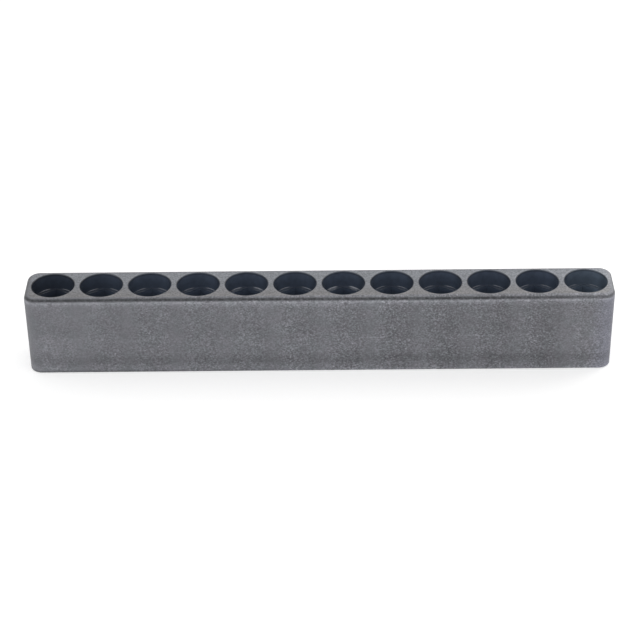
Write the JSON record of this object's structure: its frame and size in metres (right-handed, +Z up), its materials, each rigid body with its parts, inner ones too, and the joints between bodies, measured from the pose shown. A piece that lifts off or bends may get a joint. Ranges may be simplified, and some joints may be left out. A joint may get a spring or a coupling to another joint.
{
  "type": "screwdriver bit holder",
  "caption": "Free-standing moulded plastic bar with a row of round-mouthed hexagonal sockets that store screwdriver bits upright.",
  "frame": {"origin": "middle of the flat base", "axes": "+X along the row of sockets, +Z up out of their mouths"},
  "size_m": [0.1092, 0.0102, 0.0163],
  "materials": {
    "moulded_plastic": "charcoal grey, spark-eroded texture on the sides, finer on top, smooth in the sockets"
  },
  "bodies": {
    "root": {"holder_block": "moulded_plastic"}
  },
  "joints": []
}
